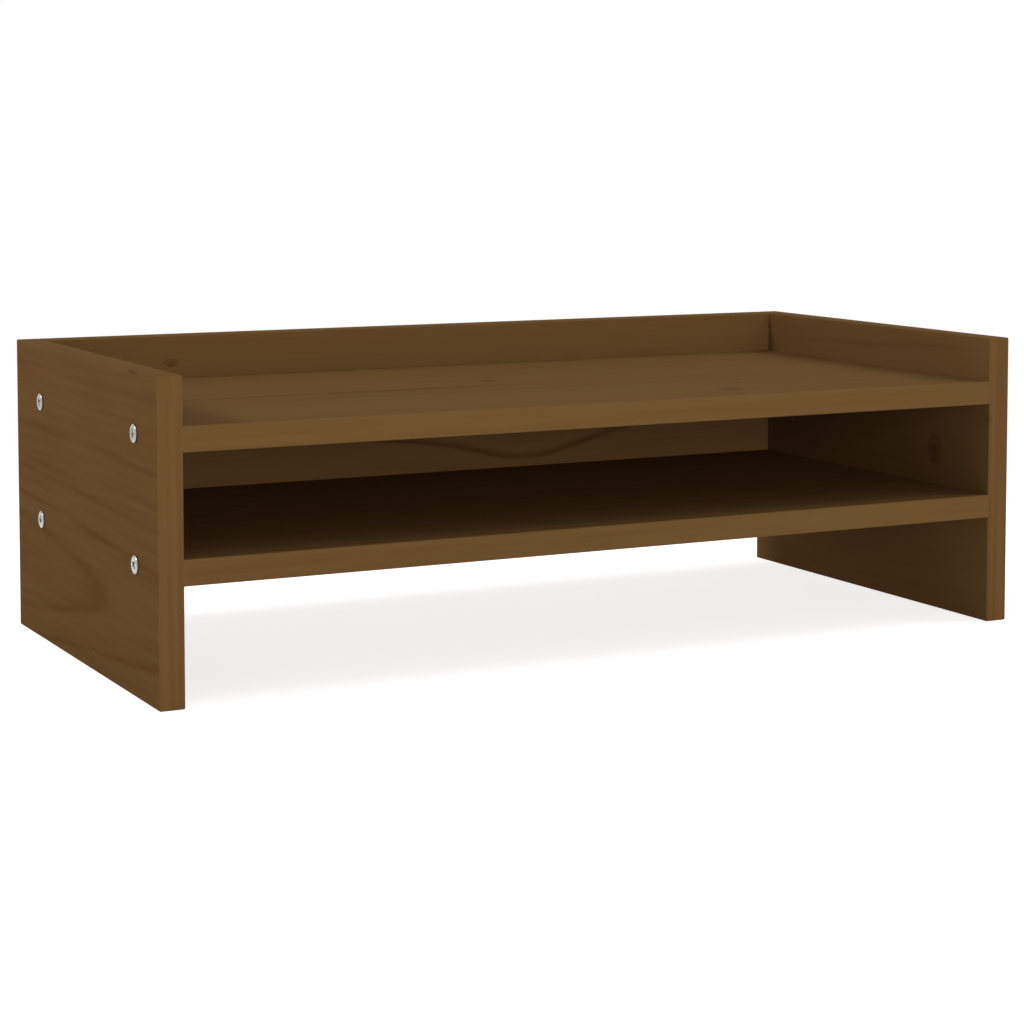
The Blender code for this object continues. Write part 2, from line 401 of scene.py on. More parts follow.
# %% The figure of the shelves
FIGURES["upper_shelf"] = Figure(
    axes=ALONG_X_FLAT, origin=(250, 120, -123), pith=Pith(-34, -64, 0.012, 0.02),
    years=(
        Year(98, 0.15), Year(120, 0.25), Year(147, 0.15), Year(176, 0.2),
        Year(190, 0.2), Year(205, 0.2), Year(222, 0.2), Year(240, 0.2),
    ),
    knots=(
        Knot(336, 31, 5.0, 4, 1.2), Knot(237, 128, 3.4, 3, 1.2),
        Knot(357, 59, 2.4, 2, 0.6), Knot(366, 80, 2.2, 2, 0.5),
    ),
    streaks=(
        Streak(150, 105, 115, 4, 0.42), Streak(165, 84, 130, 3, 0.24), Streak(50, 0, 60, 6, 0.12),
        Streak(110, 155, 110, 20, -0.12), Streak(150, 35, 170, 30, -0.20),
    ),
    wander=6, tone=-0.03, seed=37,
)
FIGURES["lower_shelf"] = Figure(
    axes=ALONG_X_FLAT, origin=(250, 120, -59), pith=Pith(262, 70, -0.02, 0.015),
    years=(
        Year(75, 0.15), Year(92, 0.2), Year(110, 0.15), Year(131, 0.2),
        Year(150, 0.15), Year(172, 0.15), Year(195, 0.2), Year(214, 0.15),
    ),
    knots=(
        Knot(249, 106, 2.2, 3, 0.8), Knot(353, 60, 2.2, 3, 0.8), Knot(96, 150, 3.8, 5, 0.6),
    ),
    streaks=(Streak(110, 0, 140, 12, 0.12), Streak(440, 0, 120, 10, -0.10)),
    wander=6, tone=0.05, seed=41,
)
print("figures:", list(FIGURES)[-2:])

# %% [markdown]
# ## The figure of the back
# One broad dark ring hangs in an arch across the rear wall of the compartment. The pith alone
# would draw it straight there, so two swells pull it down.

# %% The figure of the back
FIGURES["back_panel"] = Figure(
    axes=ALONG_X_UPRIGHT, origin=(250, 0, 120), pith=Pith(190, -26, 0, 0.01),
    years=(
        Year(57, 0.06), Year(76, 0.1), Year(84, 0.15), Year(93.3, 0.3, rise=2),
        Year(102, 1.0, rise=4), Year(113, 0.15), Year(122, 0.2),
    ),
    knots=(Knot(85.6, 144.5, 2.1, 3, 1.3, stretch=1.7), Knot(402, 96, 3.6, 5, 0.6)),
    # A broad dark streak at the right end of the back, between the shelves, is painted shade.
    streaks=(Streak(440, 110, 75, 60, 0.07),),
    swells=(Swell(313, 51, -16.3), Swell(240, 42, -2.9)),
    wander=2, tone=-0.05, seed=53,
)
print("knots:", {name: len(figure.knots) for name, figure in FIGURES.items()})

# %% [markdown]
# ## Rings and knots
# The radius wanders a little, because no tree is round. A knot is a branch that crosses the
# board: the rings pass round it, so each knot adds a bump to the radius. Its own heart, darker
# and redder, is drawn later, from the distance to its middle.

# %% Distance from the pith
DRIFT = Noise(0, (0.006, 0.020, 0.020), detail=1)
RIPPLE = Noise(1, (0.03, 0.11, 0.11))
RIPPLE_REACH = 1.4
KNOT_RAGGED = 0.9
KNOT_REACH = 2.4
KNOT_SKEW = 0.3


def squared(value):
    return value * value


def fading(value):
    """1 at 0, and less the larger the value is."""
    return (value * -1).exp()


def log_radius(figure, place):
    """Distance from the pith, pushed aside by knots and swells, and a list of the knots' hearts."""
    u, v, w = place.parts()
    pith = figure.pith
    across = v - (pith.v + pith.v_lean * u)
    through = w - (pith.w + pith.w_lean * u)
    drift = place.noise(DRIFT, figure.seed) - 0.5
    ripple = place.noise(RIPPLE, figure.seed) - 0.5
    radius = (squared(across) + squared(through)).root()
    radius = radius + drift * figure.wander + ripple * RIPPLE_REACH
    hearts = []
    for knot in figure.knots:
        flat = squared((u - knot.u) / knot.stretch) + squared(v - knot.v)
        away = (flat + squared((w - knot.w) / knot.deep)).root() * (1 + ripple * KNOT_RAGGED)
        radius = radius + fading(squared(away / (KNOT_REACH * knot.size))) * knot.push
        skew = (v - knot.v) * KNOT_SKEW
        hearts.append((away / knot.size, (away + skew) / knot.size, knot.depth))
    for swell in figure.swells:
        radius = radius + fading(squared((u - swell.u) / swell.reach)) * swell.push
    return radius, hearts


print("radius: ripples by", RIPPLE_REACH / 2, "mm at most")

# %% [markdown]
# ## Years and streaks
# Some years leave a broad dark ring. These are listed for each board, and a colour ramp over the
# radius draws them all at once, which takes far fewer nodes than a sum of rings. Between them the
# tone only drifts from year to year. Here and there the wood is darker or paler in a long streak
# along the grain. The same streaks also paint light and shade: a paler one along an edge is a
# painted highlight, and a broad dark one is painted shade.

# %% Years and streaks
YEAR_SPAN = 260
RING_FALL = 0.9
BAND_PACE = 0.11
BAND_DETAIL = 4
BAND_ROUGHNESS = 0.6
WAVER = Noise(6, (0.02, 0, 0))
WAVER_REACH = 5


def broad_rings(figure, radius):
    """The level of the dark bands: each darkens slowly outwards and ends sharply."""
    stops = []
    for year in figure.years:
        stops.append((year.radius - year.rise, 0))
        stops.append((year.radius, year.level))
        stops.append((year.radius + RING_FALL, 0))
    stops = [(place / YEAR_SPAN, level) for place, level in stops]
    return radius.node("ShaderNodeValToRGB", {"stops": stops}, {0: radius / YEAR_SPAN})


def ring_bands(figure, radius):
    """Slow changes of tone from year to year, from 0 to 1."""
    sockets = {
        "W": radius * BAND_PACE + figure.seed, "Scale": 1.0,
        "Detail": BAND_DETAIL, "Roughness": BAND_ROUGHNESS,
    }
    return radius.node("ShaderNodeTexNoise", {"noise_dimensions": "1D"}, sockets)


def streaks(figure, place):
    """0 off the streaks, and up to each one's level on it. A level below 0 is a paler streak."""
    u, v, _ = place.parts()
    waver = (place.noise(WAVER, figure.seed) - 0.5) * WAVER_REACH
    levels = []
    for streak in figure.streaks:
        along = squared(squared((u - streak.u) / streak.reach))
        line = v - streak.v - (u - streak.u) * streak.lean + waver
        levels.append(fading(along + squared(line / streak.width)) * streak.level)
    return sum(levels)


print("rings: bands about", round(1 / BAND_PACE), "mm wide")

# %% [markdown]
# ## How dark the stain is
# The stain is a honey brown that sinks deeper into the soft spring wood, so the figure shows only
# faintly. Along the grain its depth follows rings, streaks, bands and fibres. The sawn ends drink
# it in upright streaks instead. One number for each point holds all of that, and a colour follows
# it.

# %% How dark the stain is
Grain = namedtuple("Grain", "patch broad bands fibre")
PATCH = Noise(2, (0.012, 0.03, 0.03))
FIBRE = Noise(3, (0.012, 0.34, 0.34), detail=5, roughness=0.65)
UPRIGHT = Noise(4, (0.3, 0.006, 0.26))
RING_SHOWS = (0.25, 0.55)
RING_DARK = 0.80
BAND_DARK = 0.40
FIBRE_DARK = 0.80
FACE_DARK = 0.12
END_UPRIGHT_DARK = 1.1
END_FIBRE_DARK = 0.10
END_DARK = 0.14


def between(first, second, share):
    """The first value where the share is 0, the second where it is 1."""
    return first + (second - first) * share


def grain_of(figure, place, radius):
    """What the stain follows. The broad rings come and go with the patches."""
    patch = place.noise(PATCH, figure.seed)
    broad = broad_rings(figure, radius) * patch.step(*RING_SHOWS)
    return Grain(patch, broad, ring_bands(figure, radius), place.noise(FIBRE, figure.seed))


def stain_depth(figure, place, grain, sawn_end):
    """How dark the stain is at each point, around 0 to 1."""
    bands, fibre = grain.bands - 0.5, grain.fibre - 0.5
    face = grain.broad * RING_DARK + streaks(figure, place) + bands * BAND_DARK
    face = face + fibre * FIBRE_DARK + FACE_DARK + figure.tone
    upright = place.noise(UPRIGHT, figure.seed) - 0.5
    end = upright * END_UPRIGHT_DARK + fibre * END_FIBRE_DARK + END_DARK + figure.ends
    return between(face, end, sawn_end)


print("stain: rings", RING_DARK, "bands", BAND_DARK, "fibres", FIBRE_DARK)

# %% [markdown]
# ## Knots and painted arris highlights
# A knot has a dark core with rings of its own, a thin rim of bark, and a soft halo. Along the
# arrises the colour is painted paler in patches, which is a painted highlight on the eased edges.
# An arris is where two faces are near at once, so the second smallest distance to a face finds
# it, with no need for a mask image.

# %% Knots and painted arris highlights
RIM_OUTSIDE = (1.25, 1.0)
RIM_INSIDE = (0.72, 0.95)
CORE = (0.85, 0.35)
HALO = (1.7, 0.8)
CORE_SHADE = 0.30
RIM_SHADE = 0.24
HALO_SHADE = 0.08
CORE_RINGS = 12
CORE_RING_SHADE = 0.06
ARRIS_HIGHLIGHT_WIDTH = 0.7
ARRIS_HIGHLIGHT_PATCH = Noise(5, (0.05, 0.05, 0.05), detail=3)
ARRIS_HIGHLIGHT_SHOWS = (0.35, 0.75)


def knot_shade(outer, inner):
    """How brown a knot is at each point, and where its core is."""
    rim = outer.step(*RIM_OUTSIDE) * outer.step(*RIM_INSIDE)
    core = inner.step(*CORE)
    halo = outer.step(*HALO)
    rings = core * (inner * CORE_RINGS).sin()
    shade = core * CORE_SHADE + rim * RIM_SHADE + halo * HALO_SHADE + rings * CORE_RING_SHADE
    return shade, core


def painted_arris_highlight(figure, place, low, high):
    """Up to 1 along the arrises of a board with these corners, in patches: where the highlight is
    painted.
    """
    middle = [(a + b) / 2 for a, b in zip(low, high)]
    half = [abs(b - a) / 2 for a, b in zip(low, high)]
    gaps = [h - (axis - m).size() for axis, m, h in zip(place.parts(), middle, half)]
    second = gaps[0].least(gaps[1]).most(gaps[0].most(gaps[1]).least(gaps[2]))
    return second.step(ARRIS_HIGHLIGHT_WIDTH, 0) * place.noise(ARRIS_HIGHLIGHT_PATCH, figure.seed).step(*ARRIS_HIGHLIGHT_SHOWS)


print("painted_highlight:", ARRIS_HIGHLIGHT_WIDTH, "mm wide")

# %% [markdown]
# ## Stained pine
# Here the parts above become one finish for each board. The varnish over the stain is nearly
# matt. Colour, roughness and a shallow bump vary; every other value is set on the shader itself,
# because an export keeps it only there.

# %% Stained pine
STAIN_LIGHT = (0.1640, 0.0885, 0.0307, 1)
STAIN_DARK = (0.0980, 0.0415, 0.0108, 1)
STAIN_RED = (0.1620, 0.0838, 0.0288, 1)
STAIN_RANGE = (-0.1, 1.0)
KNOT_BROWN = (0.0560, 0.0220, 0.0080, 1)
ARRIS_HIGHLIGHT = (0.2000, 0.1130, 0.0470, 1)
ARRIS_HIGHLIGHT_STRENGTH = 0.35
END_FACING = (0.6, 0.9)
FIBRE_RELIEF = 0.5
RING_RELIEF = 0.3
KNOT_RELIEF = 0.4
VARNISH_ROUGH = 0.86
FIBRE_ROUGH = 0.16
RING_GLOSS = 0.05
VARNISH_SPECULAR = 0.012
PINE_BUMP = {"Strength": 0.35, "Distance": 0.00012}


def in_mm(start, **moved):
    """Each point of the piece in millimetres, moved and turned as these sockets say."""
    point = start.node("ShaderNodeTexCoord", out="Object")
    return start.node("ShaderNodeMapping", None, {"Vector": point, "Scale": (MM, MM, MM), **moved})


def coat(shader, colour, rough, height, bump):
    """Links what varies over a finish to its shader."""
    relief = height.node("ShaderNodeBump", None, {"Height": height, **bump})
    colour.into(shader.inputs["Base Color"])
    rough.into(shader.inputs["Roughness"])
    relief.into(shader.inputs["Normal"])


def stained_pine(name, figure, low, high):
    material, start, shader = blank_finish(f"stained_pine_{name}")
    turn = figure.axes.to_euler()
    place = in_mm(start, Location=figure.origin, Rotation=turn)
    sockets = {"Vector": start.node("ShaderNodeTexCoord", out="Normal"), "Rotation": turn}
    facing = start.node("ShaderNodeMapping", {"vector_type": "VECTOR"}, sockets)
    sawn_end = facing.parts()[0].size().step(*END_FACING)

    radius, hearts = log_radius(figure, place)
    grain = grain_of(figure, place, radius)
    dark = stain_depth(figure, place, grain, sawn_end).step(*STAIN_RANGE)
    colour = dark.blend(grain.patch.blend(STAIN_LIGHT, STAIN_RED), STAIN_DARK)
    height = grain.fibre * FIBRE_RELIEF + grain.broad * RING_RELIEF + grain.bands * RING_RELIEF
    for outer, inner, depth in hearts:
        shade, core = knot_shade(outer, inner)
        colour = (shade * depth).blend(colour, KNOT_BROWN)
        height = height + core * KNOT_RELIEF
    low, high = (figure.axes @ (corner * MM) + Vector(figure.origin) for corner in (low, high))
    # Paler along the arrises: a painted highlight.
    colour = (painted_arris_highlight(figure, place, low, high) * ARRIS_HIGHLIGHT_STRENGTH).blend(colour, ARRIS_HIGHLIGHT)

    rough = VARNISH_ROUGH + (grain.fibre - 0.5) * FIBRE_ROUGH - grain.broad * RING_GLOSS
    shader.inputs["Specular IOR Level"].default_value = VARNISH_SPECULAR
    coat(shader, colour, rough, height, PINE_BUMP)
    return material


print("stain: light", STAIN_LIGHT[:3], "dark", STAIN_DARK[:3])

# %% [markdown]
# ## Bores
# Every fastener needs a hole, or the meshes would run through each other. One cutter holds a
# cylinder for each screw and dowel, a little wider than the fastener, at the place that the frame
# gives for it. A single cut with it then drills all the holes of a board.

# %% Bores
BORE_ROOM = 0.0003
BORE_SIDES = 32
THREAD_DIAMETER = 0.0045
DOWEL_DIAMETER = 0.006


def centre(node):
    low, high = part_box(node)
    return (low + high) / 2


def bore_cutter():
    lie_down = Matrix.Rotation(math.pi / 2, 4, "Y")
    bm = bmesh.new()
    for name in sorted(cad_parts):
        if not name.startswith(("screw_", "dowel_")):
            continue
        low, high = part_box(name)
        wide = THREAD_DIAMETER if name.startswith("screw_") else DOWEL_DIAMETER
        radius = wide / 2 + BORE_ROOM
        bmesh.ops.create_cone(
            bm, cap_ends=True, segments=BORE_SIDES, radius1=radius, radius2=radius,
            depth=high.x - low.x + 2 * BORE_ROOM,
            matrix=Matrix.Translation(centre(name)) @ lie_down,
        )
    return placed("bores", meshed("bores", bm))


cutter = bore_cutter()
print("bores:", len(cutter.data.polygons) // (BORE_SIDES + 2))

# %% [markdown]
# ## Boards
# The photograph shows no gap where a shelf meets a side, so the boards are drawn up tight to a
# hairline, where the CAD model leaves room for its own checks. A planed board isn't sharp: its
# arrises are sanded round by just under a millimetre, less in a joint, and not at all where two
# fronts meet flush. A Bevel modifier with a weight on each edge gives each arris its own round.

# %% Ends and arrises
HAIRLINE = 0.00003
ARRIS = 0.0008
ARRIS_STEPS = 5
GROOVE = 0.4

INNER_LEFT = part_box("left_side_panel")[1].x
INNER_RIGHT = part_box("right_side_panel")[0].x
BACK_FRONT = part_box("back_panel")[0].y
SHELF_SPANS = [[corner.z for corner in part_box(name)] for name in ("lower_shelf", "upper_shelf")]


def tight_box(name):
    """The node's box, drawn out to the boards that it butts against."""
    low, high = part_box(name)
    if "side" not in name:
        low.x = INNER_LEFT + HAIRLINE
        high.x = INNER_RIGHT - HAIRLINE
    if "shelf" in name:
        high.y = BACK_FRONT - HAIRLINE
    return low, high


def near(first, second):
    return abs(first - second) < HAIRLINE


def arris_weight(name, middle, low, high):
    """How round an arris is, from 0 to 1, by where its middle lies on the board."""
    if "side" in name:
        inner = low.x if low.x > 0 else high.x
        flush = near(middle.x, inner) and near(middle.y, low.y)
        return 0 if flush and any(a < middle.z < b for a, b in SHELF_SPANS) else 1
    if near(middle.x, low.x) or near(middle.x, high.x):
        return 0 if near(middle.y, low.y) and "shelf" in name else GROOVE
    return GROOVE if "shelf" in name and near(middle.y, high.y) else 1


print("boards:", (INNER_RIGHT - INNER_LEFT) * MM, "mm between the sides")

# %% [markdown]
# ## Saw, ease and drill
# A board starts as a box. The sides get extra edges at the shelves, so that the front arris can
# stop being round there. The modifiers ease and drill it, and their result becomes its plain
# mesh.

# %% Saw, ease and drill


def plank(name, low, high):
    """A sharp board, with the weight of each arris on its edges."""
    bm = bmesh.new()
    box = Matrix.Translation((low + high) / 2) @ Matrix.Diagonal((*(high - low), 1))
    bmesh.ops.create_cube(bm, size=1, matrix=box)
    for z in (z for span in SHELF_SPANS for z in span if "side" in name):
        whole = [*bm.verts, *bm.edges, *bm.faces]
        bmesh.ops.bisect_plane(bm, geom=whole, plane_co=(0, 0, z), plane_no=(0, 0, 1))
    weights = bm.edges.layers.float.new("bevel_weight_edge")
    for edge in bm.edges:
        middle = sum((v.co for v in edge.verts), Vector()) / 2
        edge[weights] = arris_weight(name, middle, low, high)
    return meshed(name, bm)


def cut(piece, name, tool):
    """Adds a modifier that takes the tool's shape out of the piece."""
    knife = piece.modifiers.new(name, "BOOLEAN")
    knife.operation, knife.solver, knife.object = "DIFFERENCE", "EXACT", tool


def settle(piece):
    """Gives the piece its evaluated mesh and takes its modifiers off."""
    graph = bpy.context.evaluated_depsgraph_get()
    mesh = bpy.data.meshes.new_from_object(piece.evaluated_get(graph))
    piece.modifiers.clear()
    piece.data = mesh


def give(piece, material):
    piece.data.materials.clear()
    piece.data.materials.append(material)


def sawn_board(name):
    low, high = tight_box(name)
    board = placed(f"{name}_board", plank(name, low, high))
    ease = board.modifiers.new("ease", "BEVEL")
    ease.limit_method, ease.width, ease.segments = "WEIGHT", ARRIS, ARRIS_STEPS
    cut(board, "drill", cutter)
    settle(board)
    give(board, stained_pine(name, FIGURES[name], low, high))
    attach(board, "root")
    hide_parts(name)
    return board


for name in FIGURES:
    board = sawn_board(name)
    print("board:", board.name, len(board.data.polygons), "faces")
bpy.data.objects.remove(cutter)

# %% [markdown]
# ## One zinc screw
# The screws are domed, with a cross recess, and are turned in from the sides into the shelf ends.
# A screw is a body of revolution with a rib wound round it, so it is built from rings of points:
# dome, rim, plain shank, thread and point. This screw lies along X with its head outwards.

# %% Screw sizes and rings
SCREW_LENGTH = 0.040
HEAD_DIAMETER = 0.0092
HEAD_HEIGHT = 0.0012
HEAD_RIM = 0.0007
RIM_ROLL = 0.00015
DOME_STEPS = 14
SHOULDER = 12
SHANK_DIAMETER = 0.0034
SHANK_LENGTH = 0.010
ROOT_DIAMETER = 0.0030
THREAD_PITCH = 0.0022
THREAD_SIDES = 24
TIP_LENGTH = 0.004


def ring(bm, radius, x, count):
    """Points round the X axis, turning the way a right-hand thread goes in."""
    turns = [-2 * math.pi * i / count for i in range(count)]
    return [bm.verts.new((x, radius * math.cos(t), radius * math.sin(t))) for t in turns]


def bridge(bm, first, second):
    """Faces between two rings. The second may have half as many points as the first."""
    step = len(first) // len(second)
    for i in range(len(second)):
        outer = [first[(i * step + j) % len(first)] for j in range(step + 1)]
        bm.faces.new((*outer, second[(i + 1) % len(second)], second[i]))


def close(bm, last, x):
    """Faces from the last ring to one point on the axis."""
    tip = bm.verts.new((x, 0, 0))
    for i, point in enumerate(last):
        bm.faces.new((point, last[(i + 1) % len(last)], tip))


print("screw:", SCREW_LENGTH * MM, "mm under a head of", HEAD_DIAMETER * MM, "mm")

# %% [markdown]
# ## Head and shank
# The dome is flat in the middle and sloped at its shoulder, over a rolled rim. Its rings lie
# closer together towards the shoulder, where it bends most.

# %% Head and shank


def dome_height(r):
    """Height of the dome over the seat, at this distance from the axis."""
    return HEAD_RIM + (HEAD_HEIGHT - HEAD_RIM) * (1 - (r / HEAD_DIAMETER * 2) ** SHOULDER)


def screw_head(bm):
    """The dome over its rolled rim, seated on x = 0. Returns the ring round the seat."""
    radius = HEAD_DIAMETER / 2
    profile = [(radius - RIM_ROLL, 0), (radius, HEAD_RIM / 2)]
    for i in range(DOME_STEPS):
        r = radius * math.sqrt(math.cos(math.pi / 2 * i / DOME_STEPS))
        profile.append((r, dome_height(r)))
    rings = [ring(bm, r, x, 2 * THREAD_SIDES) for r, x in profile]
    for below, above in zip(rings, rings[1:]):
        bridge(bm, below, above)
    close(bm, rings[-1], HEAD_HEIGHT)
    return rings[0]


def screw_body(bm):
    seat = screw_head(bm)
    shank = SHANK_DIAMETER / 2
    root = ROOT_DIAMETER / 2
    top = root - shank - SHANK_LENGTH
    bottom = TIP_LENGTH - SCREW_LENGTH
    profile = ((shank, 0), (shank, -SHANK_LENGTH), (root, top), (root, bottom))
    rings = [ring(bm, r, x, THREAD_SIDES) for r, x in profile]
    bridge(bm, seat, rings[0])
    bridge(bm, rings[0], rings[1])
    bridge(bm, rings[1], rings[2])
    thread(bm, rings[2], rings[3], top - THREAD_PITCH / THREAD_SIDES, bottom)
    close(bm, rings[3], -SCREW_LENGTH)


print("head:", HEAD_HEIGHT * MM, "mm high,", dome_height(HEAD_DIAMETER / 2) * MM, "mm at its rim")

# %% [markdown]
# ## Thread
# The rib is a strip wound round the root of the thread: a valley line and a crest line, with a
# point on each for every step of the turn. Blender's Screw modifier winds such a strip too, but
# leaves its ends open, and a closed mesh is needed for the cut that follows.

# %% Thread


def helix_point(bm, radius, x, step):
    turn = -2 * math.pi * step / THREAD_SIDES
    drop = THREAD_PITCH * step / THREAD_SIDES
    return bm.verts.new((x - drop, radius * math.cos(turn), radius * math.sin(turn)))


def thread(bm, above, below, top, bottom):
    """A helical rib between two root rings. It fades into the root over its first and last turn."""
    n = THREAD_SIDES
    root = ROOT_DIAMETER / 2
    rise = THREAD_DIAMETER / 2 - root
    last = n * (math.ceil((top - bottom) / THREAD_PITCH) - 2)
    valley = [helix_point(bm, root, top, k) for k in range(last + n + 1)]
    crest = []
    for k in range(last + 1):
        fade = min(1, k / n, (last - k) / n)
        crest.append(helix_point(bm, root + rise * fade, top - THREAD_PITCH / 2, k))
    for k in range(last):
        bm.faces.new((valley[k], valley[k + 1], crest[k + 1], crest[k]))
        bm.faces.new((crest[k], crest[k + 1], valley[k + 1 + n], valley[k + n]))
    for k in range(n - 1):
        bm.faces.new((above[k], above[k + 1], valley[k + 1], valley[k]))
        end = last + k + 1
        bm.faces.new((valley[end], valley[end + 1], below[(k + 2) % n], below[k + 1]))
    bm.faces.new((above[n - 1], above[0], valley[0], crest[0], valley[n], valley[n - 1]))
    end = last + n
    bm.faces.new((valley[last], valley[last + 1], below[1], below[0], valley[end], crest[last]))


print("thread:", THREAD_DIAMETER * MM, "mm over a root of", ROOT_DIAMETER * MM, "mm")

# %% [markdown]
# ## Recess
# The recess is a tapered cross. It is cut out of the dome with a Boolean, so that the rings of
# the dome can stay plain. Such a cut leaves slivers where it passes close to a point, so points
# that nearly touch are welded. Each point also keeps how deep it lies under the dome, and the
# finish paints shade from it: darker in the recess and on the wall of the rim.

# %% Recess
RECESS_SPAN = 0.0048
RECESS_FLOOR_SPAN = 0.0032
RECESS_SLOT = 0.0014
RECESS_DEPTH = 0.00105
WELD_UNDER = 0.000005


def cross(bm, span, x):
    """The twelve corners of a cross of this span."""
    slot = RECESS_SLOT / 2
    arm = ((span / 2, -slot), (span / 2, slot), (slot, slot))
    corners = []
    for quarter in range(4):
        turn = Matrix.Rotation(quarter * math.pi / 2, 3, "X")
        corners += [bm.verts.new(turn @ Vector((x, y, z))) for y, z in arm]
    return corners


def solid(name, bm):
    """An object from a closed bmesh, with its faces outwards."""
    bmesh.ops.recalc_face_normals(bm, faces=bm.faces)
    return placed(name, meshed(name, bm))


def recess():
    bm = bmesh.new()
    widen = (RECESS_SPAN - RECESS_FLOOR_SPAN) * HEAD_HEIGHT / RECESS_DEPTH
    base = cross(bm, RECESS_FLOOR_SPAN, HEAD_HEIGHT - RECESS_DEPTH)
    mouth = cross(bm, RECESS_SPAN + widen, 2 * HEAD_HEIGHT)
    bridge(bm, base, mouth)
    bm.faces.new(base)
    bm.faces.new(mouth)
    return solid("recess", bm)


def weld(mesh):
    """Closes up the slivers that a cut leaves."""
    bm = bmesh.new()
    bm.from_mesh(mesh)
    bmesh.ops.remove_doubles(bm, verts=bm.verts, dist=WELD_UNDER)
    bmesh.ops.dissolve_degenerate(bm, edges=bm.edges, dist=WELD_UNDER)
    bm.to_mesh(mesh)
    bm.free()


print("recess:", RECESS_DEPTH * MM, "mm deep")

# %% [markdown]
# ## The screw to copy
# One screw is made in full, and serves as the shape that is set eight times.

# %% The screw to copy
SMOOTH_UNDER = math.radians(35)
SHADE_DEPTH = "hollow"

bm = bmesh.new()
screw_body(bm)
screw = solid("screw", bm)
punch = recess()
cut(screw, "punch", punch)
settle(screw)
weld(screw.data)
screw.data.shade_smooth()
screw.data.set_sharp_from_angle(angle=SMOOTH_UNDER)
bpy.data.objects.remove(punch)

# How deep each point lies under the dome: the finish paints shade from it.
depths = screw.data.attributes.new(SHADE_DEPTH, "FLOAT", "POINT")
for point, depth in zip(screw.data.vertices, depths.data):
    r = min(math.hypot(point.co.y, point.co.z), HEAD_DIAMETER / 2)
    depth.value = max(0, dome_height(r) - point.co.x) * MM
print("screw:", len(screw.data.polygons), "faces")

# %% [markdown]
# ## Bright zinc
# Zinc plate on a screw is a light grey metal, brushed a little by the tumbling that it gets in
# the plating drum. It is all metal, so its look is what it mirrors, and a faint unevenness in its
# roughness keeps it from looking like chrome. In the recess and on the wall of the rim it is
# rougher, and its colour is darker there, which is painted shade.

# %% Bright zinc
ZINC_LIGHT = (0.43, 0.415, 0.39, 1)
ZINC_DULL = (0.345, 0.335, 0.32, 1)
ZINC_PAINTED_SHADE = (0.25, 0.25, 0.255, 1)
CLOUDS = Noise(3, (0.9, 0.9, 0.9), detail=3)
CLOUDS_SHOW = (0.3, 0.8)
GRIT = Noise(4, (7, 7, 7))
PAINTED_SHADE_SHOWS = (0.05, 0.35)
ZINC_ROUGH = 0.20
CLOUD_ROUGH = 0.10
GRIT_ROUGH = 0.06
HOLLOW_ROUGH = 0.15
ZINC_BUMP = {"Strength": 0.15, "Distance": 0.00003}


def bright_zinc():
    material, start, shader = blank_finish("bright_zinc")
    place = in_mm(start)
    clouds = place.noise(CLOUDS)
    grit = place.noise(GRIT)
    depth = start.node("ShaderNodeAttribute", {"attribute_name": SHADE_DEPTH}, None, out="Fac")
    # Painted shade: darker the deeper a point lies under the dome, in the recess and on the rim's
    # wall.
    hollow = depth.step(*PAINTED_SHADE_SHOWS)
    colour = clouds.step(*CLOUDS_SHOW).blend(ZINC_LIGHT, ZINC_DULL)
    colour = hollow.blend(colour, ZINC_PAINTED_SHADE)
    rough = ZINC_ROUGH + clouds * CLOUD_ROUGH + grit * GRIT_ROUGH + hollow * HOLLOW_ROUGH
    shader.inputs["Metallic"].default_value = 1
    coat(shader, colour, rough, grit, ZINC_BUMP)
    return material


zinc = bright_zinc()
print("zinc:", len(zinc.node_tree.nodes), "nodes")

# %% [markdown]
# ## Eight screws by Geometry Nodes
# The same screw sits at eight places: two sides, two shelves, two rows. A node tree counts from 0
# to 7 and works out side, shelf and row from the count, which is quicker to change than eight
# copies. No two screws stop at the same angle, so each is turned a step further than the one
# before.

# %% Eight screws by Geometry Nodes
SCREWS_PER_SIDE = 4
SCREWS_PER_SHELF = 2
SIZE_INPUTS = (
    "Left Seat", "Right Seat", "Upper Shelf", "Lower Shelf", "Front Row", "Rear Row", "Turn Step",
)


def screw_inputs(tree):
    """Names the tree's inputs and its output. Returns a wire for each input."""
    kinds = {"Screw": "NodeSocketObject", "Finish": "NodeSocketMaterial"}
    kinds.update(dict.fromkeys(SIZE_INPUTS, "NodeSocketFloat"))
    for name, kind in kinds.items():
        tree.interface.new_socket(name, in_out="INPUT", socket_type=kind)
    tree.interface.new_socket("Screws", in_out="OUTPUT", socket_type="NodeSocketGeometry")
    given = tree.nodes.new("NodeGroupInput")
    return {socket.name: Wire(tree, socket) for socket in given.outputs if socket.name}


